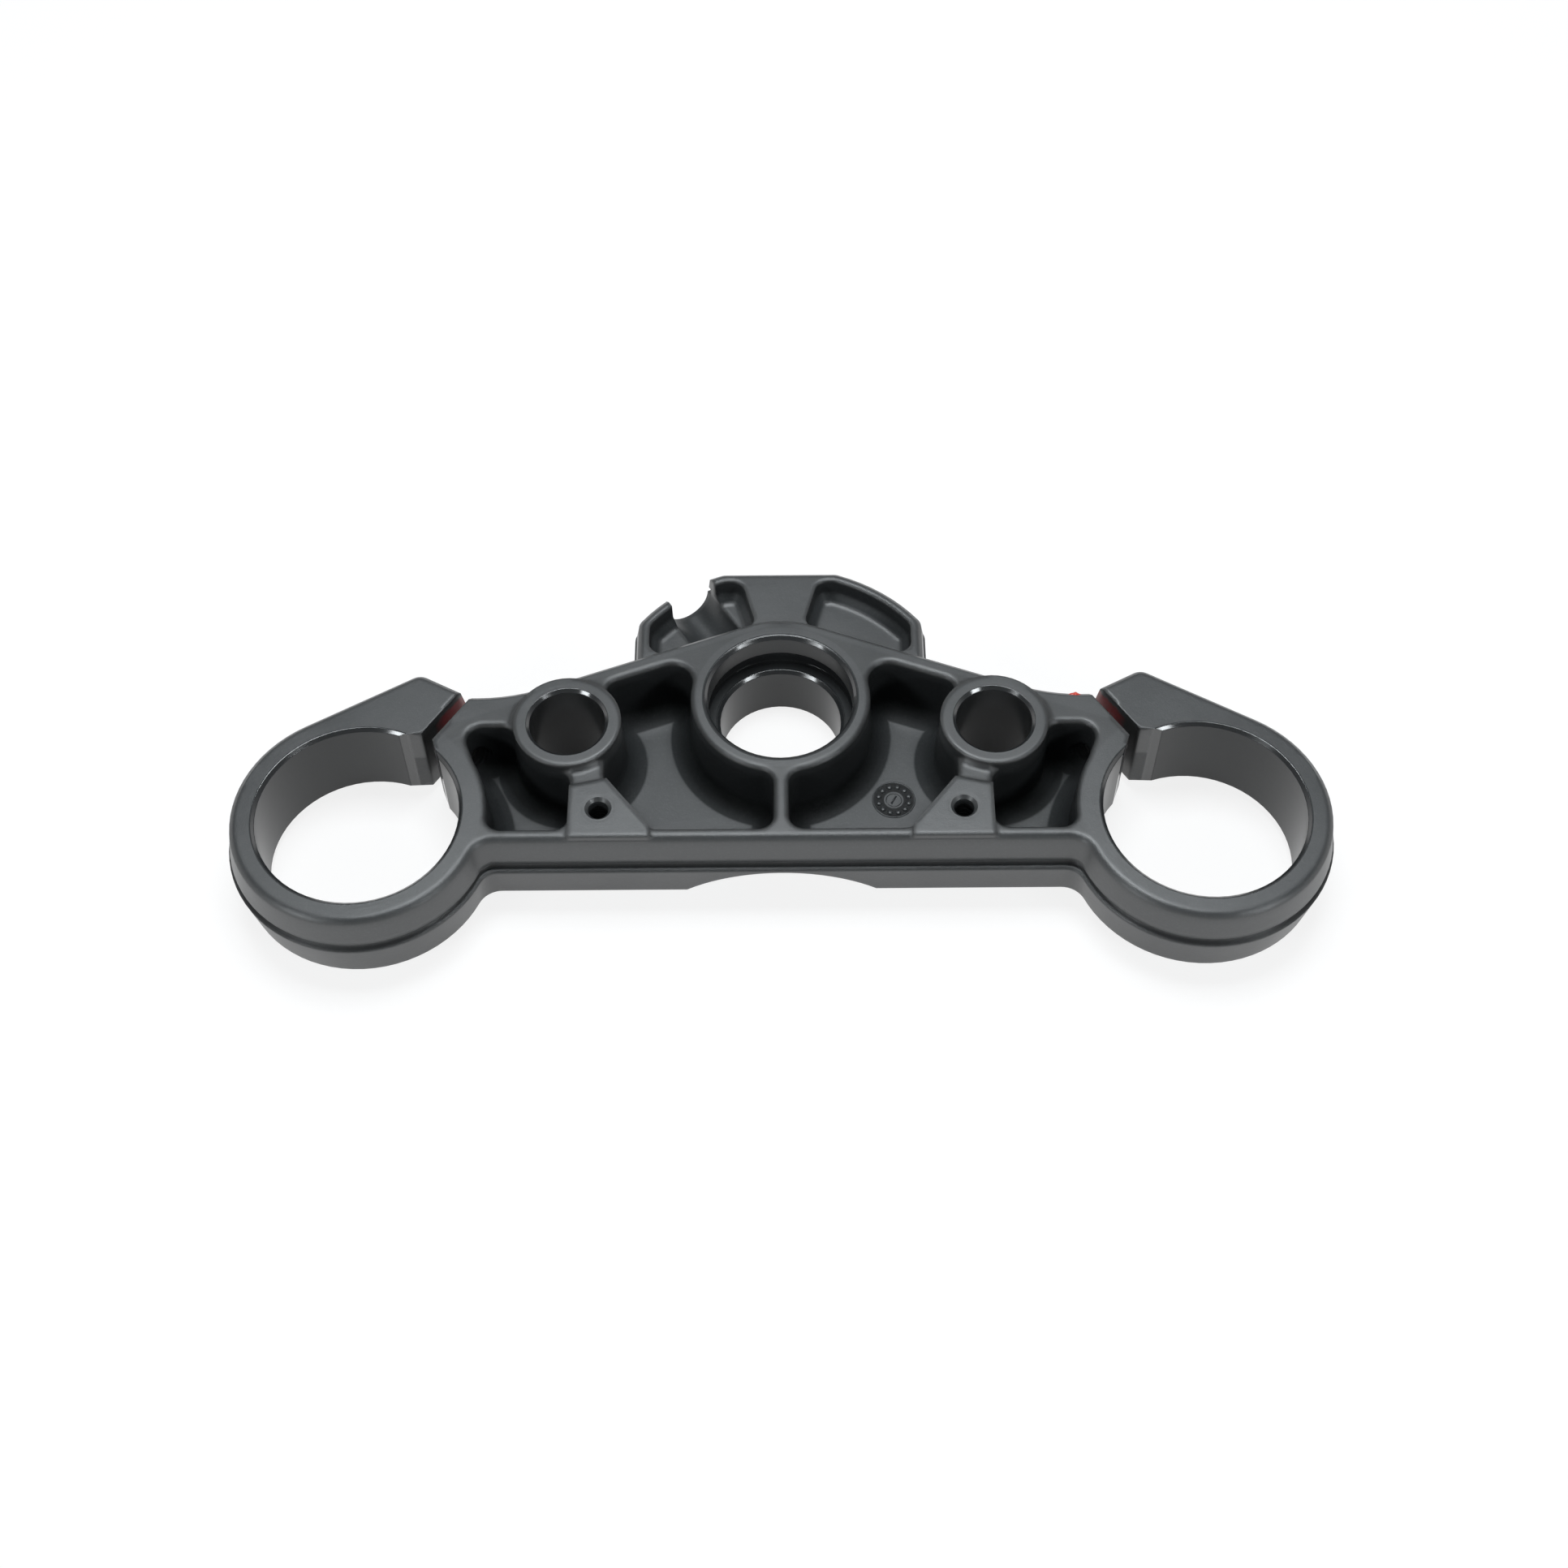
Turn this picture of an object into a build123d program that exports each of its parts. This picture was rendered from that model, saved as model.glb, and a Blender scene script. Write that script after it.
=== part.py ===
from build123d import *
from math import atan2, cos, degrees, radians, sin, tan
import os

os.makedirs("parts", exist_ok=True)

# Upper triple clamp of a motorcycle fork, lying on the machined lands of its upper face with the pocketed
# underside up. The origin is on the steering stem's axis, at the surface it lies on. +X is across the fork,
# -Y is towards the front wheel. All lengths are in millimetres and all angles in degrees.

# Casting: skin, rims and draft
LAND_HEIGHT = 3.0
BODY_HEIGHT = 23.0
PARTING_HEIGHT = 12.5
SKIN = 5.0
UPPER_DRAFT = 10.5
LOWER_DRAFT = 9.0
POCKET_DRAFT = 3.0
RIM_CHAMFER = 1.0
POCKET_CHAMFER = 0.7
FLARE_ANGLE = 45.0
SKIN_CHAMFER = 0.9
FLOOR_CHAMFER = 2.5
FLANGE_STEP = 0.6
FRONT_STEP = 1.3
GROOVE_HEIGHT = 2.2
GROOVE_DEPTH = 0.8
FRONT_REACH = 44.3
FRONT_RIM = 3.1
REAR_RIM = 4.4
REAR_ANGLE = 20.8
JUNCTION_RADIUS = 4.2
CENTRE_RIB = 3.6
BORE_CHAMFER = 0.8

# Fork rings with their slits and ears
FORK_SPACING = 208.0
FORK_OFFSET = 34.8
FORK_BORE = 50.0
RING_WALL = 7.4
SLIT_WIDTH = 3.4
SLIT_ANGLE = 123.8
MOUTH_DEPTH = 2.6
MOUTH_ANGLE = 54.0
EAR_REACH = 44.9
EAR_END_ANGLE = 28.4
EAR_FLANK_ANGLE = 30.0
EAR_CORNER_RADIUS = 4.8
LUG_SETBACK = 0.56
LUG_BLEND = 0.86

# Pinch screw holes through the ears
PINCH_REACH = 35.0
PINCH_CLEARANCE = 8.5
PINCH_TAP = 6.8
PINCH_HEAD = 14.0
EAR_GRIP = 9.0
LUG_THREAD = 12.0

# Steering stem boss
STEM_BORE = 31.0
STEM_COUNTERBORE = 37.0
COUNTERBORE_DEPTH = 10.7
UNDERCUT_HEIGHT = 4.4
UNDERCUT_DEPTH = 1.0
STEM_RIM = 4.3
STEM_WEB_RADIUS = 26.1
STEM_POCKET_RADIUS = 5.5
STEM_LAND = 46.0

# Handlebar riser bosses
RISER_SPACING = 107.0
RISER_OFFSET = 9.0
RISER_BORE = 19.0
RISER_WALL = 4.0
RISER_RISE = 2.0
RISER_FLARE = 1.2
RISER_LAP = 0.05
RISER_LAND = 33.0

# Threaded pads beside the front rim
PAD_SPACING = 89.6
PAD_SETBACK = 9.9
PAD_OUTER = 7.4
PAD_INNER = 0.8
PAD_FOOT = 12.7
PAD_SHOULDER = 15.3
PAD_REAR = 6.9
PAD_REAR_ANGLE = 12.4
PAD_RISE = 1.0
PAD_HOLE = 5.0
PAD_HOLE_DEPTH = 15.0
PAD_COUNTERSINK = 0.8

# Pockets
RING_POCKET_WALL = 6.6
LUG_RIM = 9.0
LUG_WALL_ANGLE = 69.0
LUG_WALL_INSET = 0.35
POCKET_RADIUS = 4.0
CORNER_RADIUS = 3.6

# Tail with its two pockets and the trough across its left corner
TAIL_RADIUS = 46.2
TAIL_SIDE_CUT = 8.65
TAIL_BACK_CUT = 2.5
TAIL_DROP = 3.5
TAIL_SKIN_RISE = 2.0
TAIL_CORNER_RADIUS = 4.3
TAIL_GAP = 0.7
TAIL_RIM = 2.6
TAIL_WEB = 12.0
TAIL_WEB_ANGLE = 75.0
TAIL_POCKET_DEPTH = 6.5
TAIL_POCKET_RADIUS = 3.6
TAIL_FLOOR_CHAMFER = 2.2
TROUGH_RADIUS = 6.7
TROUGH_ANGLE = 122.5
TROUGH_DROP = 6.0

# Scoop under the front wall
SCOOP_RADIUS = 37.0
SCOOP_RISE = 11.3

# Overshoot of cutting tools past the faces that they open
PAST = 1.0


def along(point, angle, distance):
    return (point[0] + distance * cos(radians(angle)), point[1] + distance * sin(radians(angle)))


def crossing(point, angle, other, other_angle):
    dx, dy = along((0, 0), angle, 1)
    ex, ey = along((0, 0), other_angle, 1)
    distance = ((other[0] - point[0]) * ey - (other[1] - point[1]) * ex) / (dx * ey - dy * ex)
    return along(point, angle, distance)


def leaves_circle(centre, radius, point, angle):
    foot = crossing(point, angle, centre, angle + 90)
    offset_squared = (foot[0] - centre[0]) ** 2 + (foot[1] - centre[1]) ** 2
    return along(foot, angle, (radius**2 - offset_squared) ** 0.5)


def round_corner(sketch, point, radius):
    fillet(sketch.vertices().sort_by_distance(Vector(*point))[0], radius)


def bore_profile(radius, high):
    return [
        (0, -PAST),
        (radius, -PAST),
        (radius, high - BORE_CHAMFER),
        (radius + BORE_CHAMFER + PAST, high + PAST),
        (0, high + PAST),
    ]


def upright(point):
    return Plane(origin=(point[0], point[1], 0), x_dir=(1, 0, 0), z_dir=(0, -1, 0))


# Heights
parting_z = LAND_HEIGHT + PARTING_HEIGHT
rim_z = LAND_HEIGHT + BODY_HEIGHT
floor_z = LAND_HEIGHT + SKIN
groove_z = parting_z + GROOVE_HEIGHT
mouth_z = rim_z - POCKET_CHAMFER
flare_top_z = rim_z + RISER_FLARE + PAST
seat_z = rim_z - COUNTERBORE_DEPTH
tail_z = rim_z - TAIL_DROP
trough_z = tail_z - TROUGH_DROP
rim_draft = (rim_z - groove_z) * tan(radians(UPPER_DRAFT))
tail_draft = (tail_z - groove_z) * tan(radians(UPPER_DRAFT))

# Places in plan, on the right-hand side
fork = (FORK_SPACING / 2, -FORK_OFFSET)
riser = (RISER_SPACING / 2, -RISER_OFFSET)
pad = (PAD_SPACING / 2, PAD_SETBACK - FRONT_REACH)
fork_r = FORK_BORE / 2
riser_r = RISER_BORE / 2 + RISER_WALL
stem_rim_r = STEM_COUNTERBORE / 2 + STEM_RIM
lug_rear_y = along(fork, SLIT_ANGLE, EAR_REACH)[1] - LUG_SETBACK
tail_side_cut_x = TAIL_RADIUS - TAIL_SIDE_CUT
tail_back_cut_y = TAIL_RADIUS - TAIL_BACK_CUT
rear_normal = 90 - REAR_ANGLE
rear_angle = 180 - REAR_ANGLE
front_y = -(FRONT_REACH - rim_draft)
pocket_front_y = front_y + FRONT_RIM

# Body: a drafted upper half, the narrower core of the groove, and a drafted lower half with a wider flange
with BuildPart() as body:
    for base_z, height, slope, step, front_step in (
        (groove_z, rim_z - groove_z, UPPER_DRAFT, 0, 0),
        (parting_z, GROOVE_HEIGHT, 0, -GROOVE_DEPTH, -GROOVE_DEPTH),
        (parting_z, -PARTING_HEIGHT, LOWER_DRAFT, FLANGE_STEP, FRONT_STEP),
    ):
        reach = FRONT_REACH + front_step
        ring_r = fork_r + RING_WALL + step
        ear_tangent = along(fork, 90 - EAR_FLANK_ANGLE, ring_r)
        ear_end = along(fork, SLIT_ANGLE, EAR_REACH + step)
        ear_corner = crossing(ear_tangent, 180 - EAR_FLANK_ANGLE, ear_end, EAR_END_ANGLE)
        web_tangent = along((0, 0), rear_normal, STEM_WEB_RADIUS + step)
        lug_root = crossing(web_tangent, rear_angle, (0, lug_rear_y + step), 0)
        lug_end = crossing(ear_end, EAR_END_ANGLE, lug_root, 0)
        lug_blend_r = LUG_BLEND * (lug_end[0] - lug_root[0]) / tan(radians(REAR_ANGLE / 2))
        with BuildSketch(Plane.XY.offset(base_z)) as plan:
            with BuildLine():
                Polyline(
                    (0, -reach),
                    (fork[0], -reach),
                    fork,
                    ear_tangent,
                    ear_corner,
                    lug_end,
                    lug_root,
                    web_tangent,
                    (0, web_tangent[1]),
                    close=True,
                )
            make_face()
            with Locations(fork):
                Circle(ring_r)
            round_corner(plan, leaves_circle(fork, ring_r, (0, -reach), 180), JUNCTION_RADIUS)
            round_corner(plan, ear_corner, EAR_CORNER_RADIUS)
            round_corner(plan, lug_root, lug_blend_r)
            mirror(about=Plane.YZ)
            Circle(STEM_WEB_RADIUS + step)
        extrude(amount=height, taper=slope)
    chamfer(body.faces().sort_by(Axis.Z)[-1].edges(), RIM_CHAMFER)
    chamfer(body.faces().sort_by(Axis.Z)[0].edges(), SKIN_CHAMFER)


# Tail: a lower block behind the stem, made the same way
with BuildPart() as tail:
    for base_z, height, slope, step in (
        (groove_z, tail_z - groove_z, UPPER_DRAFT, 0),
        (parting_z, GROOVE_HEIGHT, 0, -GROOVE_DEPTH),
        (parting_z, TAIL_SKIN_RISE - PARTING_HEIGHT, LOWER_DRAFT, FLANGE_STEP),
    ):
        side_x = tail_side_cut_x + step
        back_y = tail_back_cut_y + step
        with BuildSketch(Plane.XY.offset(base_z)) as tail_plan:
            Circle(TAIL_RADIUS + step)
            with Locations((0, back_y / 2)):
                Rectangle(2 * side_x, back_y, mode=Mode.INTERSECT)
            fillet(tail_plan.vertices().group_by(Axis.Y)[-1], TAIL_CORNER_RADIUS)
            for wall_x in (side_x, -side_x):
                tail_corner = leaves_circle((0, 0), TAIL_RADIUS + step, (wall_x, 0), 90)
                round_corner(tail_plan, tail_corner, TAIL_CORNER_RADIUS)
        extrude(amount=height, taper=slope)
    chamfer(tail.faces().sort_by(Axis.Z)[-1].edges(), RIM_CHAMFER)
    chamfer(tail.faces().sort_by(Axis.Z)[0].edges(), SKIN_CHAMFER)


# Main pocket, on the right: between the stem, the riser, the pad and the centre rib
rib_x = CENTRE_RIB / 2
neck_x = pad[0] - PAD_INNER
pad_neck = (neck_x, riser[1] - PAD_SHOULDER)
pad_foot = (pad[0] - PAD_FOOT, pocket_front_y)
pocket_rear = along((0, 0), rear_normal, STEM_WEB_RADIUS - rim_draft - REAR_RIM)
stem_corner = leaves_circle((0, 0), stem_rim_r, pocket_rear, -REAR_ANGLE)
with BuildPart() as main_pocket:
    with BuildSketch(Plane.XY.offset(mouth_z)) as main_opening:
        with BuildLine():
            Polyline(
                (rib_x, pocket_front_y),
                pad_foot,
                pad_neck,
                (neck_x, riser[1]),
                riser,
                crossing(pocket_rear, rear_angle, riser, 90),
                pocket_rear,
                (rib_x, pocket_rear[1]),
                close=True,
            )
        make_face()
        Circle(stem_rim_r, mode=Mode.SUBTRACT)
        with Locations(riser):
            Circle(riser_r, mode=Mode.SUBTRACT)
        round_corner(main_opening, (rib_x, pocket_front_y), POCKET_RADIUS)
        round_corner(main_opening, leaves_circle((0, 0), stem_rim_r, (rib_x, 0), -90), POCKET_RADIUS)
        round_corner(main_opening, stem_corner, STEM_POCKET_RADIUS)
        round_corner(main_opening, leaves_circle(riser, riser_r, pocket_rear, rear_angle), CORNER_RADIUS)
        round_corner(main_opening, leaves_circle(riser, riser_r, (neck_x, 0), -90), CORNER_RADIUS)
        round_corner(main_opening, pad_foot, CORNER_RADIUS)
        round_corner(main_opening, pad_neck, CORNER_RADIUS)
    extrude(amount=floor_z - mouth_z)
    draft(main_pocket.faces().filter_by(Axis.Z, reverse=True), Plane.XY.offset(mouth_z), -POCKET_DRAFT)
    chamfer(main_pocket.faces().sort_by(Axis.Z)[0].edges(), FLOOR_CHAMFER)
    extrude(main_opening.sketch, amount=flare_top_z - mouth_z, taper=-FLARE_ANGLE)


# Outer pocket, on the right: between the riser, the pad and the fork ring
pad_outer_x = pad[0] + PAD_OUTER
lug_pocket_y = lug_rear_y - rim_draft - LUG_RIM
ring_pocket_r = fork_r + RING_POCKET_WALL
ring_corner = leaves_circle(fork, ring_pocket_r, (0, pocket_front_y), 180)
lug_wall_start = along(fork, LUG_WALL_ANGLE + 90, ring_pocket_r - LUG_WALL_INSET)
lug_wall_end = crossing(lug_wall_start, LUG_WALL_ANGLE, (0, lug_pocket_y), 0)
with BuildPart() as outer_pocket:
    with BuildSketch(Plane.XY.offset(mouth_z)) as outer_opening:
        with BuildLine():
            Polyline(
                (pad_outer_x, pocket_front_y),
                (fork[0] - fork_r, pocket_front_y),
                lug_wall_start,
                lug_wall_end,
                (pad_outer_x, lug_pocket_y),
                close=True,
            )
        make_face()
        with Locations(fork):
            Circle(ring_pocket_r, mode=Mode.SUBTRACT)
        with Locations(riser):
            Circle(riser_r, mode=Mode.SUBTRACT)
        round_corner(outer_opening, (pad_outer_x, pocket_front_y), CORNER_RADIUS)
        round_corner(outer_opening, ring_corner, POCKET_RADIUS)
        round_corner(outer_opening, lug_wall_end, POCKET_RADIUS)
        round_corner(outer_opening, leaves_circle(riser, riser_r, (0, lug_pocket_y), 0), CORNER_RADIUS)
        round_corner(outer_opening, leaves_circle(riser, riser_r, (pad_outer_x, 0), -90), CORNER_RADIUS)
    extrude(amount=floor_z - mouth_z)
    draft(outer_pocket.faces().filter_by(Axis.Z, reverse=True), Plane.XY.offset(mouth_z), -POCKET_DRAFT)
    chamfer(outer_pocket.faces().sort_by(Axis.Z)[0].edges(), FLOOR_CHAMFER)
    extrude(outer_opening.sketch, amount=flare_top_z - mouth_z, taper=-FLARE_ANGLE)


# Flared root of the riser boss, on the right; the pockets cut into it
boss_low_z = rim_z - 2 * RIM_CHAMFER
with BuildPart() as riser_root:
    with BuildSketch(upright(riser)):
        with BuildLine():
            Polyline(
                (0, boss_low_z),
                (riser_r + RISER_FLARE, boss_low_z),
                (riser_r + RISER_FLARE, rim_z),
                (riser_r, rim_z + RISER_FLARE),
                (0, rim_z + RISER_FLARE),
                close=True,
            )
        make_face()
    revolve(axis=Axis((*riser, 0), (0, 0, 1)))


# Riser boss, on the right; its side stands on the walls of the pockets
with BuildPart() as riser_boss:
    with BuildSketch(Plane.XY.offset(boss_low_z)):
        with Locations(riser):
            Circle(riser_r + RISER_LAP)
    extrude(amount=rim_z + RISER_RISE - boss_low_z)


# Pad, on the right: a machined step above the rim
foot_angle = degrees(atan2(pad_neck[1] - pad_foot[1], pad_neck[0] - pad_foot[0]))
pad_rear = (pad_outer_x, pad[1] + PAD_REAR)
with BuildPart() as pad_step:
    with BuildSketch(Plane.XY.offset(boss_low_z)):
        with BuildLine():
            Polyline(
                (pad_outer_x, front_y),
                pad_rear,
                crossing(pad_rear, 180 - PAD_REAR_ANGLE, pad_foot, foot_angle),
                pad_foot,
                (pad_foot[0], front_y),
                close=True,
            )
        make_face()
    extrude(amount=rim_z + PAD_RISE - boss_low_z)


# Tail pocket, on the right
tail_near_r = STEM_WEB_RADIUS - tail_draft + TAIL_GAP
tail_near = along((0, 0), rear_normal, tail_near_r)
web_foot = crossing((TAIL_WEB / 2, 0), 90, tail_near, rear_angle)
tail_side_x = tail_side_cut_x - tail_draft - TAIL_RIM
tail_back_y = tail_back_cut_y - tail_draft - TAIL_RIM
tail_inner_r = TAIL_RADIUS - tail_draft - TAIL_RIM
web_end = crossing(web_foot, TAIL_WEB_ANGLE, (0, tail_back_y), 0)
tail_side = crossing((tail_side_x, 0), 90, tail_near, rear_angle)
back_corner = leaves_circle((0, 0), tail_inner_r, (0, tail_back_y), 0)
side_corner = leaves_circle((0, 0), tail_inner_r, (tail_side_x, 0), 90)
with BuildPart() as tail_pocket:
    with BuildSketch(Plane.XY.offset(tail_z)) as tail_opening:
        with BuildLine():
            Polyline(web_foot, tail_side, (tail_side_x, tail_back_y), web_end, close=True)
        make_face()
        Circle(tail_inner_r, mode=Mode.INTERSECT)
        for corner in (back_corner, side_corner, web_end):
            round_corner(tail_opening, corner, TAIL_POCKET_RADIUS)
        round_corner(tail_opening, tail_side, CORNER_RADIUS)
        round_corner(tail_opening, web_foot, CORNER_RADIUS)
    extrude(amount=-TAIL_POCKET_DEPTH)
    draft(tail_pocket.faces().filter_by(Axis.Z, reverse=True), Plane.XY.offset(tail_z), -POCKET_DRAFT)
    chamfer(tail_pocket.faces().sort_by(Axis.Z)[0].edges(), TAIL_FLOOR_CHAMFER)


# Trough across the tail's left corner
trough_start = along((0, 0), TROUGH_ANGLE, STEM_WEB_RADIUS + PAST)
trough_plane = Plane(
    origin=(trough_start[0], trough_start[1], trough_z),
    x_dir=(*along((0, 0), TROUGH_ANGLE + 90, 1), 0),
    z_dir=(*along((0, 0), TROUGH_ANGLE, 1), 0),
)
with BuildPart() as trough:
    with BuildSketch(trough_plane):
        Circle(TROUGH_RADIUS)
        with Locations((0, TROUGH_RADIUS)):
            Rectangle(2 * TROUGH_RADIUS, 2 * TROUGH_RADIUS)
    extrude(amount=TAIL_RADIUS)


with BuildPart() as clamp:
    add(body.part)
    add(tail.part)
    add(riser_root.part)
    mirror(riser_root.part, about=Plane.YZ)
    for pocket in (main_pocket, outer_pocket):
        add(pocket.part, mode=Mode.SUBTRACT)
        mirror(pocket.part, about=Plane.YZ, mode=Mode.SUBTRACT)
    for top in (riser_boss, pad_step):
        add(top.part)
        mirror(top.part, about=Plane.YZ)
    # Machined lands under the stem and the risers
    with BuildSketch(Plane.XY):
        Circle(STEM_LAND / 2)
        with Locations(riser, (-riser[0], riser[1])):
            Circle(RISER_LAND / 2)
    extrude(amount=LAND_HEIGHT + PAST, taper=-POCKET_DRAFT)
    # Tail pockets and trough
    add(tail_pocket.part, mode=Mode.SUBTRACT)
    mirror(tail_pocket.part, about=Plane.YZ, mode=Mode.SUBTRACT)
    add(trough.part, mode=Mode.SUBTRACT)
    # Scoop under the front wall
    with BuildSketch(upright((0, -(FRONT_REACH + FRONT_STEP)))):
        with Locations((0, LAND_HEIGHT + SCOOP_RISE - SCOOP_RADIUS)):
            Circle(SCOOP_RADIUS)
    extrude(amount=2 * SCOOP_RISE, dir=(0, 1, -1), mode=Mode.SUBTRACT)
    # Stem bore with its counterbore and undercut
    with BuildSketch(Plane.XZ):
        with BuildLine():
            Polyline(
                (0, -PAST),
                (STEM_BORE / 2, -PAST),
                (STEM_BORE / 2, seat_z - BORE_CHAMFER),
                (STEM_BORE / 2 + BORE_CHAMFER, seat_z),
                (STEM_COUNTERBORE / 2 + UNDERCUT_DEPTH, seat_z),
                (STEM_COUNTERBORE / 2 + UNDERCUT_DEPTH, seat_z + UNDERCUT_HEIGHT),
                (STEM_COUNTERBORE / 2, seat_z + UNDERCUT_HEIGHT),
                (STEM_COUNTERBORE / 2, rim_z - BORE_CHAMFER),
                (STEM_COUNTERBORE / 2 + BORE_CHAMFER + PAST, rim_z + PAST),
                (0, rim_z + PAST),
                close=True,
            )
        make_face()
    revolve(axis=Axis.Z, mode=Mode.SUBTRACT)
    # Fork bores and riser bores
    for side in (1, -1):
        fork_place = (side * fork[0], fork[1])
        with BuildSketch(upright(fork_place)):
            Polygon(*bore_profile(fork_r, rim_z), align=None)
        revolve(axis=Axis((*fork_place, 0), (0, 0, 1)), mode=Mode.SUBTRACT)
        riser_place = (side * riser[0], riser[1])
        with BuildSketch(upright(riser_place)):
            Polygon(*bore_profile(RISER_BORE / 2, rim_z + RISER_RISE), align=None)
        revolve(axis=Axis((*riser_place, 0), (0, 0, 1)), mode=Mode.SUBTRACT)
    # Slits with their mouths
    mouth_half = SLIT_WIDTH / 2 + (MOUTH_DEPTH + PAST) * tan(radians(MOUTH_ANGLE))
    with BuildSketch(Plane.XY):
        with Locations(Location((*fork, 0), (0, 0, SLIT_ANGLE))):
            Polygon(
                (fork_r - PAST, -mouth_half),
                (fork_r + MOUTH_DEPTH, -SLIT_WIDTH / 2),
                (EAR_REACH + 2 * SLIT_WIDTH, -SLIT_WIDTH / 2),
                (EAR_REACH + 2 * SLIT_WIDTH, SLIT_WIDTH / 2),
                (fork_r + MOUTH_DEPTH, SLIT_WIDTH / 2),
                (fork_r - PAST, mouth_half),
                align=None,
            )
        mirror(about=Plane.YZ)
    extrude(amount=rim_z + PAST, mode=Mode.SUBTRACT)
    # Pinch screw holes, square to the slits
    for side in (1, -1):
        pinch_x, pinch_y = along(fork, SLIT_ANGLE, PINCH_REACH)
        out_x, out_y = along((0, 0), SLIT_ANGLE - 90, 1)
        pinch_plane = Plane(
            origin=(side * pinch_x, pinch_y, LAND_HEIGHT + BODY_HEIGHT / 2),
            x_dir=(0, 0, 1),
            z_dir=(side * out_x, out_y, 0),
        )
        with BuildSketch(pinch_plane):
            Circle(PINCH_CLEARANCE / 2)
        extrude(amount=EAR_REACH, mode=Mode.SUBTRACT)
        with BuildSketch(pinch_plane.offset(SLIT_WIDTH / 2 + EAR_GRIP)):
            Circle(PINCH_HEAD / 2)
        extrude(amount=EAR_REACH, mode=Mode.SUBTRACT)
        with BuildSketch(pinch_plane):
            Circle(PINCH_TAP / 2)
        extrude(amount=-LUG_THREAD, mode=Mode.SUBTRACT)
    # Threaded holes in the pads
    with Locations((pad[0], pad[1], rim_z + PAD_RISE), (-pad[0], pad[1], rim_z + PAD_RISE)):
        CounterSinkHole(PAD_HOLE / 2, PAD_HOLE / 2 + PAD_COUNTERSINK, PAD_HOLE_DEPTH)

clamp.part.label = "triple_clamp"
export_step(clamp.part, "parts/triple_clamp.step")
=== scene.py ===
from math import cos, pi, radians, sin

import bmesh
import bpy
from mathutils import Matrix, Vector


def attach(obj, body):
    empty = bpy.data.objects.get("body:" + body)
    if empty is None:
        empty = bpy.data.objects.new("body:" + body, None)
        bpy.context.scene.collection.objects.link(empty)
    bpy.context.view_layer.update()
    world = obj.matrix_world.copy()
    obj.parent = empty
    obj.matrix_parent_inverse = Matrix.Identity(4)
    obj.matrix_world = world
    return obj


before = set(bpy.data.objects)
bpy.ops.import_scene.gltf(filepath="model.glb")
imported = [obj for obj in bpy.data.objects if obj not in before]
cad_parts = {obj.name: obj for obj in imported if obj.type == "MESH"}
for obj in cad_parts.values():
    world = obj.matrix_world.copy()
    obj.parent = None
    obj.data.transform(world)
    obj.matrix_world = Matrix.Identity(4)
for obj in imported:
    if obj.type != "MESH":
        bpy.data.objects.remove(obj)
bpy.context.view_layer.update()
scene = bpy.context.scene
MM = 0.001

# Places on the casting, in millimetres in the CAD frame
FORK = (104.0, -34.8)
FORK_R = 25.0
RISER = (53.5, -9.0)
RISER_R = 9.5
RISER_TOP = 28.0
PAD = (44.8, -34.4)
PAD_R = 2.5
PAD_TOP = 27.0
STEM_R = 19.5
RIM_Z = 26.0
PINCH_Z = 14.5
PINCH_REACH = 35.0
TAP_R = 3.4
SLIT_ANGLE = 123.8
SLIT_HALF = 1.7
FLOOR_Z = 8.0
REAR_ANGLE = 20.8
CLOCK = (28.7, -20.0)
CLOCK_R = 5.6
DOT_R = 0.72
DOT_RING_R = 3.95
POINTER_SIZE = (2.6, 0.4, 0.5)
POINTER_ANGLE = 60.0
DAB = (74.6, 0.1, 24.9)

# Feet of the pocket walls, and how far the painted shade and dull gloss reach from them
STEM_FOOT_R = 23.7
RISER_FOOT_R = 14.4
RING_FOOT_R = 32.5
RIB_FOOT_X = 2.7
REAR_FOOT_N = 19.25
CORNER_REACH = 4.4

# Limits of the zones of the coat
POCKET_LOW_Z = 5.0
POCKET_FOOT_Z = 13.0
POCKET_FRONT_Y = -42.5
POCKET_REAR_N = 22.5
RING_EDGE_R = 30.0
STEM_EDGE_R = 21.5
RISER_EDGE_R = 12.5
RISER_TOP_R = 13.8
OUTER_POCKET_X = 60.0
REAR_EDGE_N = (22.0, 28.0)
TAIL_FLOOR_Z = 16.2
TAIL_TOP_Z = 22.2
TAIL_START_N = 26.5
TAIL_POCKET_R = 43.6
TAIL_POCKET_X = 35.2
FLANGE_TOP_Z = 15.0
SLIT_START = 24.0
RED_START = 33.0

# Floor, in metres
FLOOR_SIZE = 8.0

# Threads
PAD_PITCH = 1.0
TAP_PITCH = 1.25
TAP_DEPTH = 14.0

# Rounding of the edges
EDGE_RADIUS = 1.8 * MM
REAR_EDGE_RADIUS = 0.6 * MM
BORE_EDGE_RADIUS = 0.2 * MM
POCKET_RADIUS = 8.0 * MM
OUTER_POCKET_RADIUS = 11.0 * MM

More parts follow.
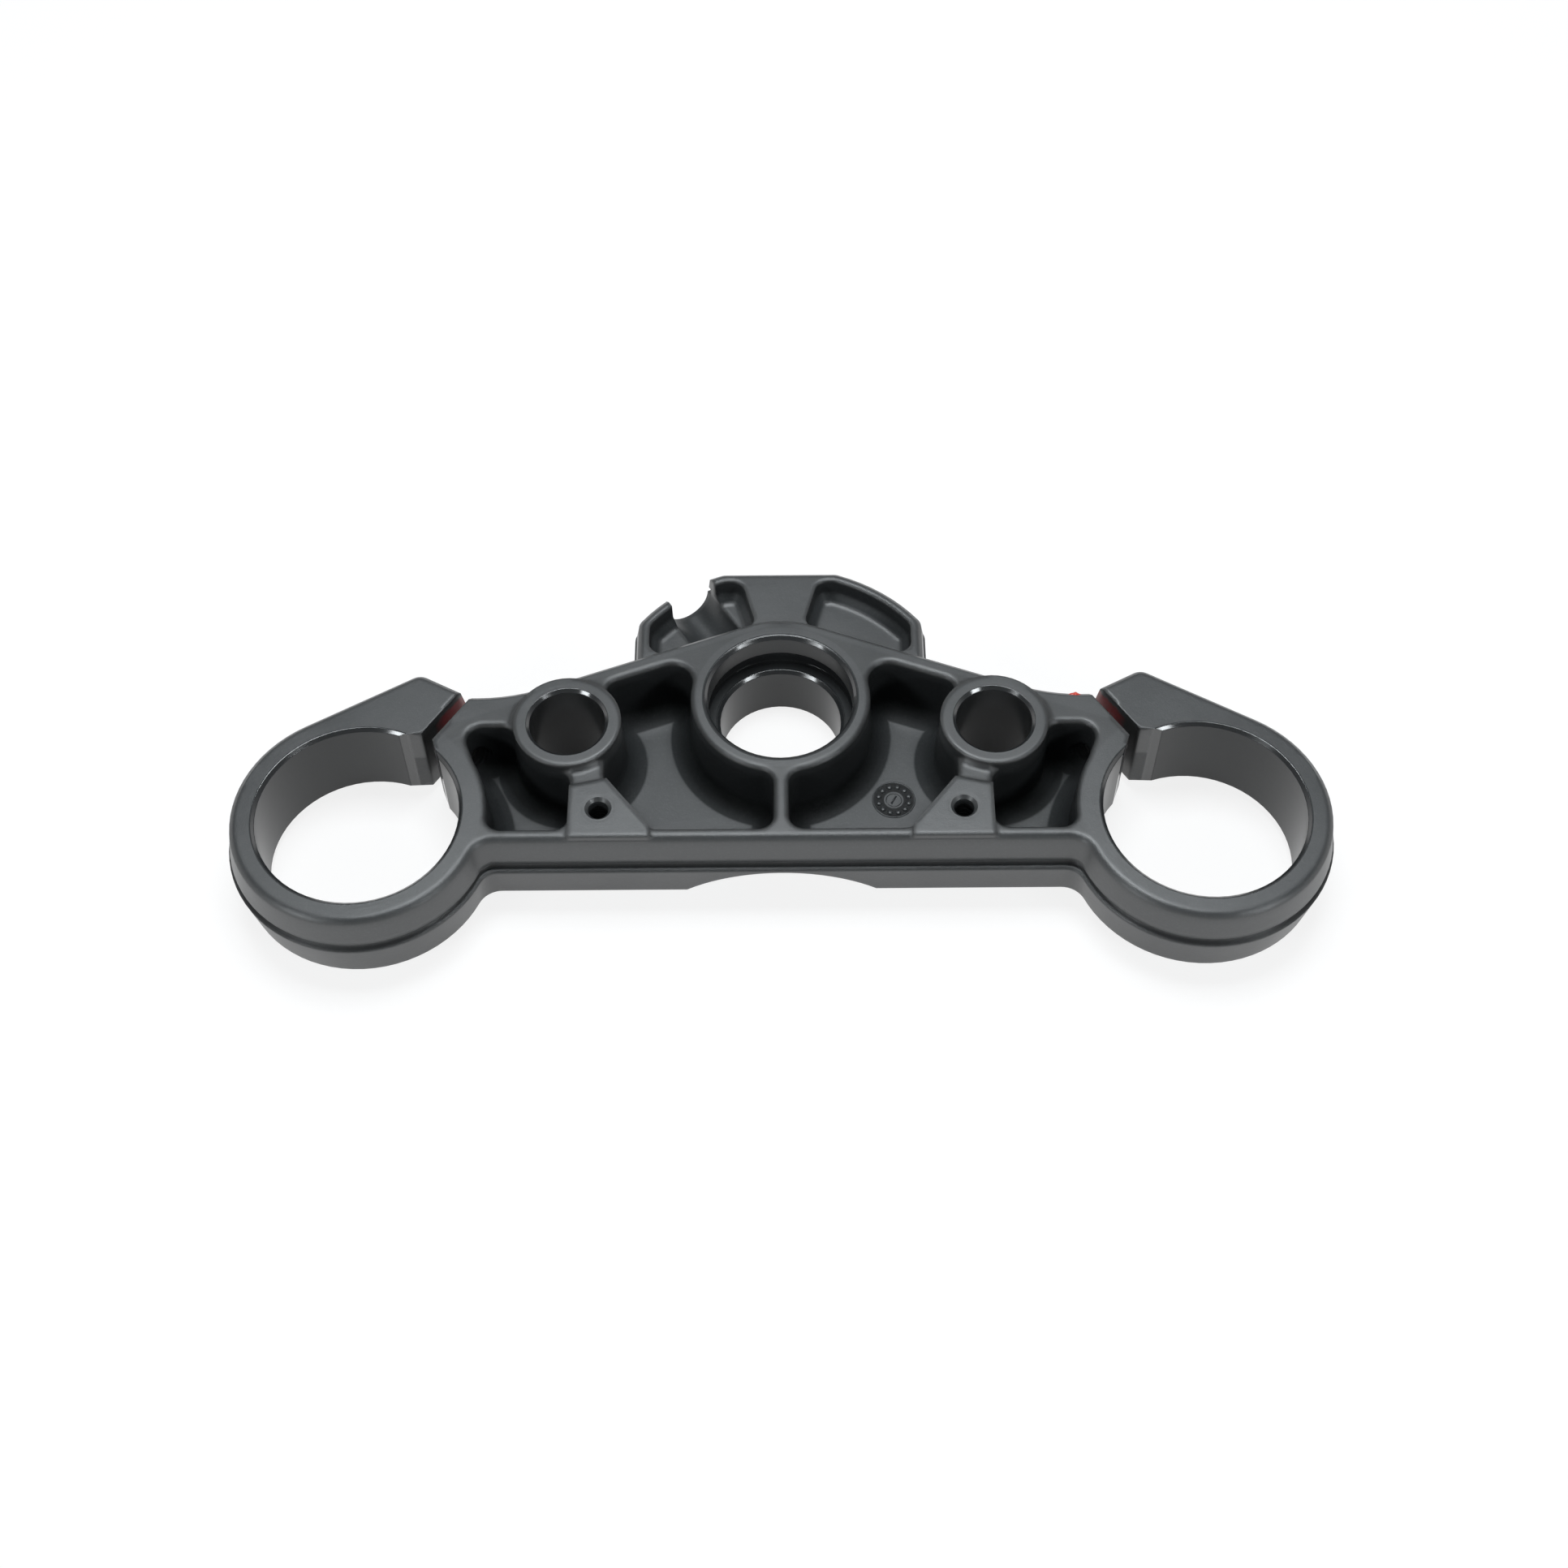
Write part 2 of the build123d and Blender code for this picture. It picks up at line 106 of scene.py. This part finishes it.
# Colours
COAT = (0.031, 0.0335, 0.035, 1.0)
COAT_CLOUD = (0.042, 0.0445, 0.046, 1.0)
COAT_SPECK = (0.066, 0.07, 0.072, 1.0)
# Cut finish of bores and slits, made darker still as painted shade inside these recesses
CUT_FINISH_AND_SHADE = (0.02, 0.0215, 0.0225, 1.0)
# Painted shade for the pocket corners along the wall feet
CORNER_PAINTED_SHADE = (0.008, 0.009, 0.0095, 1.0)
# Painted shade for the band around the clock's dots, as if it were a shaded groove
TRACK_PAINTED_SHADE = (0.004, 0.004, 0.004, 1.0)
SLIT_RED = (0.45, 0.004, 0.008, 1.0)
PAINT_RED = (0.55, 0.03, 0.02, 1.0)
PAINT_STREAK = (0.75, 0.09, 0.06, 1.0)
FLOOR_PALE = (0.80, 0.80, 0.80, 1.0)
FLOOR_PALE_WEAVE = (0.87, 0.87, 0.87, 1.0)
FLOOR_SEEN = (0.19, 0.19, 0.19, 1.0)
FLOOR_SEEN_WEAVE = (0.22, 0.22, 0.22, 1.0)
WHITE = (1.0, 1.0, 1.0, 1.0)
LAMP_TINT = (0.95, 1.0, 1.03)


# Node helpers
class Nodes:
    def __init__(self, tree):
        self.tree = tree

    def node(self, kind, **settings):
        made = self.tree.nodes.new(kind)
        for key, value in settings.items():
            setattr(made, key, value)
        return made

    def feed(self, socket, value):
        if isinstance(value, bpy.types.NodeSocket):
            self.tree.links.new(value, socket)
        else:
            socket.default_value = value

    def math(self, operation, a, b=0.0):
        made = self.node("ShaderNodeMath", operation=operation)
        self.feed(made.inputs[0], a)
        self.feed(made.inputs[1], b)
        return made.outputs[0]

    def vector(self, operation, a, b=(0.0, 0.0, 0.0), output=0):
        made = self.node("ShaderNodeVectorMath", operation=operation)
        self.feed(made.inputs[0], a)
        self.feed(made.inputs[1], b)
        return made.outputs[output]

    def ramp(self, value, low, high, to_low=0.0, to_high=1.0):
        made = self.node("ShaderNodeMapRange", interpolation_type="SMOOTHSTEP")
        for socket, given in zip(made.inputs, (value, low, high, to_low, to_high)):
            self.feed(socket, given)
        return made.outputs[0]

    def noise(self, vector, scale, detail=2.0, roughness=0.5):
        made = self.node("ShaderNodeTexNoise")
        self.feed(made.inputs["Vector"], vector)
        made.inputs["Scale"].default_value = scale
        made.inputs["Detail"].default_value = detail
        made.inputs["Roughness"].default_value = roughness
        return made.outputs["Fac"]

    def mix(self, factor, a, b):
        made = self.node("ShaderNodeMix", data_type="RGBA")
        self.feed(made.inputs[0], factor)
        self.feed(made.inputs[6], a)
        self.feed(made.inputs[7], b)
        return made.outputs[2]

    def blend(self, factor, a, b):
        made = self.node("ShaderNodeMix", data_type="FLOAT")
        self.feed(made.inputs[0], factor)
        self.feed(made.inputs[2], a)
        self.feed(made.inputs[3], b)
        return made.outputs[0]

    def millimetres(self, coords):
        return self.vector("MULTIPLY", coords, (1000.0, 1000.0, 1000.0))

    def plan(self, coords):
        """Place seen from above in millimetres, with the left side folded onto the right."""
        folded = self.vector("ABSOLUTE", coords)
        joined = self.node("ShaderNodeCombineXYZ")
        for socket, source in ((0, folded), (1, coords)):
            parts = self.node("ShaderNodeSeparateXYZ")
            self.feed(parts.inputs[0], source)
            self.feed(joined.inputs[socket], parts.outputs[socket])
        return self.millimetres(joined.outputs[0])

    def off_axis(self, plan, point):
        return self.vector("DISTANCE", plan, (point[0], point[1], 0.0), output=1)

    def ring(self, radius, inner, outer):
        """Band between two radii, with soft edges."""
        return self.all_of(self.ramp(radius, inner, inner + 0.1), self.ramp(radius, outer + 0.2, outer))

    def seen(self):
        """Mask of the camera, glossy and transmission rays."""
        rays = self.node("ShaderNodeLightPath").outputs
        return self.most(rays["Is Camera Ray"], rays["Is Glossy Ray"], rays["Is Transmission Ray"])

    def chain(self, operation, values):
        result = values[0]
        for value in values[1:]:
            result = self.math(operation, result, value)
        return result

    def most(self, *values):
        return self.chain("MAXIMUM", values)

    def least(self, *values):
        return self.chain("MINIMUM", values)

    def all_of(self, *values):
        return self.chain("MULTIPLY", values)


def new_material(name):
    material = bpy.data.materials.new(name)
    material.use_nodes = True
    tree = material.node_tree
    tree.nodes.clear()
    nodes = Nodes(tree)
    shader = nodes.node("ShaderNodeBsdfPrincipled")
    output = nodes.node("ShaderNodeOutputMaterial")
    tree.links.new(shader.outputs[0], output.inputs["Surface"])
    return material, nodes, shader


def coated_casting(name, rounded):
    material, n, shader = new_material(name)
    coords = n.node("ShaderNodeTexCoord").outputs["Object"]
    place = n.millimetres(coords)
    split = n.node("ShaderNodeSeparateXYZ")
    n.feed(split.inputs[0], place)
    x, y, z = split.outputs
    across = n.math("ABSOLUTE", x)
    plan = n.plan(coords)
    fork_r = n.off_axis(plan, FORK)
    riser_r = n.off_axis(plan, RISER)
    stem_r = n.off_axis(plan, (0.0, 0.0))
    pad_r = n.off_axis(plan, PAD)

    # Across and along the slits, from each fork's axis
    along_dir = (cos(radians(SLIT_ANGLE)), sin(radians(SLIT_ANGLE)), 0.0)
    across_dir = (along_dir[1], -along_dir[0], 0.0)
    from_fork = n.vector("SUBTRACT", plan, (FORK[0], FORK[1], 0.0))
    slit_u = n.vector("DOT_PRODUCT", from_fork, along_dir, output=1)
    slit_v = n.vector("DOT_PRODUCT", from_fork, across_dir, output=1)

    # Machined places: bores and slits, then riser tops and lands
    bores = n.most(
        n.ramp(fork_r, FORK_R + 0.9, FORK_R + 0.8),
        n.ramp(riser_r, RISER_R + 0.9, RISER_R + 0.8),
        n.ramp(stem_r, STEM_R + 0.1, STEM_R),
    )
    riser_tops = n.all_of(
        n.ramp(z, RISER_TOP - 0.06, RISER_TOP - 0.04),
        n.ramp(riser_r, RISER_TOP_R + 0.2, RISER_TOP_R),
    )
    tops = n.most(riser_tops, n.ramp(z, 0.06, 0.04))
    in_slit = n.all_of(
        n.ramp(n.math("ABSOLUTE", slit_v), SLIT_HALF + 0.05, SLIT_HALF),
        n.ramp(slit_u, SLIT_START, SLIT_START + 1.0),
    )
    machined = n.most(bores, in_slit)
    smoothed = n.most(machined, tops)

    # Bright-cut chamfers at the mouths of the bores
    cut_edge = n.most(
        n.ring(fork_r, FORK_R + 0.05, FORK_R + 1.0),
        n.ring(riser_r, RISER_R + 0.05, RISER_R + 0.8),
        n.ring(stem_r, STEM_R - 0.95, STEM_R + 0.3),
        n.ring(stem_r, STEM_R - 3.95, STEM_R - 2.9),
    )

    # Pockets, their corners along the walls, and the walls of the tail's pockets
    rear_dir = (sin(radians(REAR_ANGLE)), cos(radians(REAR_ANGLE)), 0.0)
    rear_n = n.vector("DOT_PRODUCT", plan, rear_dir, output=1)
    well = n.all_of(
        n.ramp(z, POCKET_LOW_Z, POCKET_LOW_Z + 1.0),
        n.ramp(y, POCKET_FRONT_Y, POCKET_FRONT_Y + 1.0),
        n.ramp(rear_n, POCKET_REAR_N, POCKET_REAR_N - 1.0),
        n.ramp(fork_r, RING_EDGE_R, RING_EDGE_R + 1.0),
        n.ramp(stem_r, STEM_EDGE_R, STEM_EDGE_R + 0.5),
        n.ramp(riser_r, RISER_EDGE_R, RISER_EDGE_R + 0.5),
    )
    wall_gap = n.least(
        n.math("SUBTRACT", stem_r, STEM_FOOT_R),
        n.math("SUBTRACT", riser_r, RISER_FOOT_R),
        n.math("SUBTRACT", fork_r, RING_FOOT_R),
        n.math("SUBTRACT", across, RIB_FOOT_X),
        n.math("SUBTRACT", REAR_FOOT_N, rear_n),
    )
    corner = n.math("MULTIPLY", well, n.ramp(wall_gap, CORNER_REACH + 0.8, CORNER_REACH))
    tail_well = n.all_of(
        n.ramp(z, TAIL_FLOOR_Z, TAIL_FLOOR_Z + 0.6),
        n.ramp(z, TAIL_TOP_Z, TAIL_TOP_Z - 0.8),
        n.ramp(rear_n, TAIL_START_N, TAIL_START_N + 0.5),
        n.ramp(stem_r, TAIL_POCKET_R + 0.4, TAIL_POCKET_R),
        n.ramp(across, TAIL_POCKET_X + 0.4, TAIL_POCKET_X),
    )

    # Threads
    pad_thread = n.all_of(
        n.ramp(pad_r, PAD_R + 0.12, PAD_R + 0.08),
        n.ramp(z, PAD_TOP - 0.8, PAD_TOP - 1.2),
    )
    tap_offset = n.node("ShaderNodeCombineXYZ")
    n.feed(tap_offset.inputs[0], n.math("SUBTRACT", slit_u, PINCH_REACH))
    n.feed(tap_offset.inputs[1], n.math("SUBTRACT", z, PINCH_Z))
    tap_r = n.vector("LENGTH", tap_offset.outputs[0], output=1)
    tap_thread = n.all_of(
        n.ramp(tap_r, TAP_R + 0.12, TAP_R + 0.08),
        n.ramp(slit_v, -SLIT_HALF, -SLIT_HALF - 0.3),
        n.ramp(slit_v, -TAP_DEPTH, 0.5 - TAP_DEPTH),
    )
    pad_ridges = n.math("SINE", n.math("MULTIPLY", z, 2 * pi / PAD_PITCH))
    tap_ridges = n.math("SINE", n.math("MULTIPLY", slit_v, 2 * pi / TAP_PITCH))
    ridges = n.math("ADD", n.all_of(pad_thread, pad_ridges), n.all_of(tap_thread, tap_ridges))

    # Relief: cast grain, turned lines and threads
    grain = n.math(
        "ADD",
        n.math("MULTIPLY", n.noise(place, 2.2, 3.0, 0.6), 0.7),
        n.math("MULTIPLY", n.noise(place, 0.45, 2.0), 0.5),
    )
    lines_at = n.node("ShaderNodeCombineXYZ")
    n.feed(lines_at.inputs[2], z)
    n.feed(lines_at.inputs[0], n.math("MULTIPLY", stem_r, 0.02))
    lines = n.noise(lines_at.outputs[0], 3.0, 3.0, 0.7)
    surface = n.blend(smoothed, grain, n.math("MULTIPLY", lines, 0.02))
    relief = n.math("ADD", surface, n.math("MULTIPLY", ridges, 2.5))
    bump = n.node("ShaderNodeBump")
    bump.inputs["Strength"].default_value = 0.55
    bump.inputs["Distance"].default_value = 0.06 * MM
    n.feed(bump.inputs["Height"], relief)
    n.feed(shader.inputs["Normal"], bump.outputs[0])

    # Rounded edges: wide where pocket walls run into their floors, narrow at bores and along the rear
    if rounded:
        near_bore = n.most(
            n.ramp(fork_r, FORK_R + 2.0, FORK_R + 1.2),
            n.ramp(riser_r, RISER_R + 1.8, RISER_R + 1.2),
            n.ramp(stem_r, STEM_R + 0.8, STEM_R + 0.4),
            n.ramp(pad_r, PAD_R + 1.6, PAD_R + 1.0),
        )
        pocket_foot = n.math("MULTIPLY", well, n.ramp(z, POCKET_FOOT_Z + 1.5, POCKET_FOOT_Z))
        rear_edge = n.all_of(
            n.ramp(rear_n, REAR_EDGE_N[0], REAR_EDGE_N[0] + 1.0),
            n.ramp(rear_n, REAR_EDGE_N[1], REAR_EDGE_N[1] - 1.0),
        )
        plain_radius = n.blend(rear_edge, EDGE_RADIUS, REAR_EDGE_RADIUS)
        pocket_radius = n.ramp(
            across, OUTER_POCKET_X, OUTER_POCKET_X + 6.0, POCKET_RADIUS, OUTER_POCKET_RADIUS
        )
        radius = n.blend(near_bore, n.blend(pocket_foot, plain_radius, pocket_radius), BORE_EDGE_RADIUS)
        rounding = n.node("ShaderNodeBevel", samples=6)
        n.feed(rounding.inputs["Radius"], radius)
        n.feed(bump.inputs["Normal"], rounding.outputs[0])

    # Colour: satin black with slow cloudy changes, darker in bores and slits (cut finish and painted
    # shade), painted shade in the pocket corners and along the clock's track, red marks inside the slits
    cloud = n.noise(place, 0.06, 3.0)
    speck = n.noise(place, 1.4, 2.0, 0.7)
    black = n.mix(cloud, COAT, COAT_CLOUD)
    black = n.mix(n.ramp(speck, 0.45, 0.8, 0.0, 0.35), black, COAT_SPECK)
    # Bores and slits: darker cut finish, partly painted shade where the recess shades them
    black = n.mix(n.math("MULTIPLY", machined, 0.8), black, CUT_FINISH_AND_SHADE)
    # Painted shade: pocket floor and walls darkened near the wall feet, where the corners fall into shade
    black = n.mix(n.math("MULTIPLY", corner, 0.45), black, CORNER_PAINTED_SHADE)
    clock_r = n.vector("DISTANCE", place, (CLOCK[0], CLOCK[1], FLOOR_Z), output=1)
    # Painted shade: the floor band between the clock's rings is darkened like a shaded groove
    track = n.all_of(
        n.ramp(clock_r, CLOCK_R - 3.2, CLOCK_R - 3.0),
        n.ramp(clock_r, CLOCK_R - 0.4, CLOCK_R - 0.6),
        n.ramp(z, FLOOR_Z + 0.06, FLOOR_Z + 0.03),
        0.8,
    )
    black = n.mix(track, black, TRACK_PAINTED_SHADE)
    red_edge = n.math("MULTIPLY", n.noise(place, 0.5, 2.0), 2.0)
    red = n.all_of(
        n.ramp(slit_v, SLIT_HALF - 0.3, SLIT_HALF - 0.2),
        n.ramp(slit_v, SLIT_HALF + 0.12, SLIT_HALF + 0.08),
        n.ramp(n.math("ADD", slit_u, red_edge), RED_START, RED_START + 5.0),
        n.ramp(n.math("ADD", z, red_edge), RIM_Z - 0.5, RIM_Z - 2.0),
    )
    n.feed(shader.inputs["Base Color"], n.mix(red, black, SLIT_RED))

    # Gloss: satin on the outside, duller in pockets and corners, bright on cut chamfers
    smooth = n.blend(machined, n.ramp(cloud, 0.3, 0.7, 0.34, 0.39), n.ramp(lines, 0.3, 0.7, 0.28, 0.31))
    n.feed(shader.inputs["Roughness"], n.blend(cut_edge, smooth, 0.15))
    sides = n.blend(well, n.ramp(z, FLANGE_TOP_Z, FLANGE_TOP_Z + 1.0, 0.5, 0.98), 0.6)
    sides = n.blend(corner, n.blend(tail_well, sides, 0.2), 0.12)
    gloss = n.blend(machined, n.blend(n.ramp(z, RIM_Z - 4.0, RIM_Z - 1.0), sides, 0.85), 0.4)
    gloss = n.blend(track, gloss, 0.05)
    n.feed(shader.inputs["Specular IOR Level"], n.blend(cut_edge, gloss, 1.0))
    return material


def marking_paint():
    material, n, shader = new_material("marking_paint")
    coords = n.node("ShaderNodeTexCoord").outputs["Object"]
    streak = n.noise(coords, 900.0, 3.0, 0.6)
    n.feed(shader.inputs["Base Color"], n.mix(streak, PAINT_RED, PAINT_STREAK))
    n.feed(shader.inputs["Roughness"], n.ramp(streak, 0.3, 0.7, 0.25, 0.4))
    bump = n.node("ShaderNodeBump")
    bump.inputs["Strength"].default_value = 0.3
    bump.inputs["Distance"].default_value = 0.1 * MM
    n.feed(bump.inputs["Height"], streak)
    n.feed(shader.inputs["Normal"], bump.outputs[0])
    return material


def pale_floor():
    material, n, shader = new_material("pale_floor")
    coords = n.node("ShaderNodeTexCoord").outputs["Object"]
    weave = n.noise(coords, 700.0, 3.0, 0.6)
    seen = n.seen()
    pale = n.mix(weave, FLOOR_PALE, FLOOR_PALE_WEAVE)
    n.feed(shader.inputs["Base Color"], n.mix(seen, pale, n.mix(weave, FLOOR_SEEN, FLOOR_SEEN_WEAVE)))
    shader.inputs["Roughness"].default_value = 0.9
    shader.inputs["Specular IOR Level"].default_value = 0.1
    # Painted shadow: the floor's glow drops to 0.3 under the riser bores, where the casting shades the
    # floor
    shade_under_bores = n.ramp(n.off_axis(n.plan(coords), RISER), RISER_R, RISER_R + 1.5, 0.3, 1.0)
    n.feed(shader.inputs["Emission Strength"], n.all_of(seen, shade_under_bores, 0.83))
    shader.inputs["Emission Color"].default_value = WHITE
    return material


# The casting itself
casting = coated_casting("coated_casting", True)
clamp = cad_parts["triple_clamp"]
clamp.data.materials.clear()
clamp.data.materials.append(casting)


def add_piece(name, mesh_builder, material):
    mesh = bpy.data.meshes.new(name)
    bm = bmesh.new()
    mesh_builder(bm)
    bmesh.ops.recalc_face_normals(bm, faces=bm.faces)
    bm.to_mesh(mesh)
    bm.free()
    for polygon in mesh.polygons:
        polygon.use_smooth = True
    piece = bpy.data.objects.new(name, mesh)
    scene.collection.objects.link(piece)
    mesh.materials.append(material)
    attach(piece, "root")


def lathe(bm, profile, steps):
    rings = []
    for i in range(steps):
        angle = 2 * pi * i / steps
        rings.append([bm.verts.new((r * cos(angle), r * sin(angle), h)) for r, h in profile])
    for i in range(steps):
        here, there = rings[i], rings[(i + 1) % steps]
        for j in range(len(profile) - 1):
            bm.faces.new((here[j], there[j], there[j + 1], here[j + 1]))


# Mould clock on the floor of the right main pocket: two raised rings, twelve dots and a pointer
def mould_clock(bm):
    sink = -0.3
    outer_ring = [
        (CLOCK_R - 0.55, sink),
        (CLOCK_R - 0.45, 0.18),
        (CLOCK_R - 0.3, 0.24),
        (CLOCK_R - 0.1, 0.18),
        (CLOCK_R, sink),
    ]
    inner_ring = [(1.75, sink), (1.82, 0.12), (1.95, 0.18), (2.08, 0.12), (2.15, sink)]
    lathe(bm, outer_ring, 72)
    lathe(bm, inner_ring, 48)
    for k in range(12):
        angle = radians(30 * k + 15)
        dot = bmesh.ops.create_uvsphere(bm, u_segments=16, v_segments=10, radius=DOT_R)["verts"]
        bmesh.ops.scale(bm, vec=(1.0, 1.0, 0.5), verts=dot)
        bmesh.ops.translate(bm, vec=(DOT_RING_R * cos(angle), DOT_RING_R * sin(angle), 0.0), verts=dot)
    shaft = bmesh.ops.create_cube(bm, size=1.0)["verts"]
    turn = Matrix.Rotation(radians(POINTER_ANGLE), 3, "Z")
    bmesh.ops.scale(bm, vec=POINTER_SIZE, verts=shaft)
    bmesh.ops.rotate(bm, cent=(0, 0, 0), matrix=turn, verts=shaft)
    bmesh.ops.translate(bm, vec=(0, 0, -0.05), verts=shaft)
    bmesh.ops.transform(bm, matrix=Matrix.Scale(MM, 4), verts=bm.verts)
    bmesh.ops.translate(bm, vec=Vector((CLOCK[0], CLOCK[1], FLOOR_Z)) * MM, verts=bm.verts)


add_piece("mould_clock", mould_clock, coated_casting("coated_relief", False))


# Dab of marking paint on the rear edge of the right lug
def paint_dab(bm):
    bmesh.ops.create_uvsphere(bm, u_segments=28, v_segments=14, radius=1.0)
    for vert in bm.verts:
        swell = 1.0 + 0.12 * sin(5 * vert.co.x + 1.0) + 0.08 * sin(9 * vert.co.x)
        vert.co = Vector((vert.co.x * 1.9, vert.co.y * 0.9 * swell, vert.co.z * 0.9 * swell))
    bmesh.ops.transform(bm, matrix=Matrix.Scale(MM, 4), verts=bm.verts)
    bmesh.ops.translate(bm, vec=Vector(DAB) * MM, verts=bm.verts)


add_piece("paint_dab", paint_dab, marking_paint())

# Floor
floor_mesh = bpy.data.meshes.new("floor")
half = FLOOR_SIZE / 2
corners = [(-half, -half, 0), (half, -half, 0), (half, half, 0), (-half, half, 0)]
floor_mesh.from_pydata(corners, [], [(0, 1, 2, 3)])
floor = bpy.data.objects.new("floor", floor_mesh)
floor.location.z = -0.02 * MM
scene.collection.objects.link(floor)
floor_mesh.materials.append(pale_floor())

# World: white walls and a darker ceiling
world = bpy.data.worlds.new("tent")
scene.world = world
world.use_nodes = True
world.node_tree.nodes.clear()
w = Nodes(world.node_tree)
background = w.node("ShaderNodeBackground")
w.feed(background.inputs["Color"], WHITE)
ray_split = w.node("ShaderNodeSeparateXYZ")
w.feed(ray_split.inputs[0], w.node("ShaderNodeTexCoord").outputs["Generated"])
seen_strength = w.ramp(ray_split.outputs[2], 0.1, 0.4, 1.0, 0.12)
light_strength = w.ramp(ray_split.outputs[2], 0.12, 0.4, 0.9, 0.05)
w.feed(background.inputs["Strength"], w.blend(w.seen(), light_strength, seen_strength))
world_out = w.node("ShaderNodeOutputWorld")
world.node_tree.links.new(background.outputs[0], world_out.inputs["Surface"])


# Softboxes
def softbox(name, place, aim, size, watts):
    data = bpy.data.lights.new(name, "AREA")
    data.shape = "RECTANGLE"
    data.size, data.size_y = size
    data.energy = watts
    data.color = LAMP_TINT
    lamp = bpy.data.objects.new(name, data)
    lamp.location = place
    lamp.rotation_euler = (Vector(aim) - Vector(place)).to_track_quat("-Z", "Y").to_euler()
    scene.collection.objects.link(lamp)


softbox("top_box", (0.0, 0.2, 0.94), (0.0, -0.01, 0.0), (0.5, 0.36), 7.0)
for name, side in (("left_box", -1), ("right_box", 1)):
    softbox(name, (side * 0.8, -0.71, 0.6), (0.0, -0.01, 0.01), (0.34, 0.17), 2.6)

# Camera
SENSOR_WIDTH, FOCAL_PIXELS, FRAME_PIXELS = 36.0, 2793, 1932
CAMERA_PLACE = (0.461, -340.094, 489.146)
CAMERA_EL, CAMERA_YAW, CAMERA_ROLL = radians(55.94), radians(-0.05), radians(-0.36)
camera_data = bpy.data.cameras.new("camera")
camera_data.sensor_width = SENSOR_WIDTH
camera_data.lens = SENSOR_WIDTH * FOCAL_PIXELS / FRAME_PIXELS
camera_data.clip_start = 0.01
camera = bpy.data.objects.new("camera", camera_data)
scene.collection.objects.link(camera)
back = Vector((sin(CAMERA_YAW) * cos(CAMERA_EL), -cos(CAMERA_YAW) * cos(CAMERA_EL), sin(CAMERA_EL)))
right = Vector((cos(CAMERA_YAW), sin(CAMERA_YAW), 0.0))
up = back.cross(right)
turned_right = cos(CAMERA_ROLL) * right + sin(CAMERA_ROLL) * up
turned_up = cos(CAMERA_ROLL) * up - sin(CAMERA_ROLL) * right
camera.matrix_world = Matrix.Translation(Vector(CAMERA_PLACE) * MM) @ Matrix(
    (turned_right, turned_up, back)
).transposed().to_4x4()
scene.camera = camera

scene.view_settings.view_transform = "Standard"
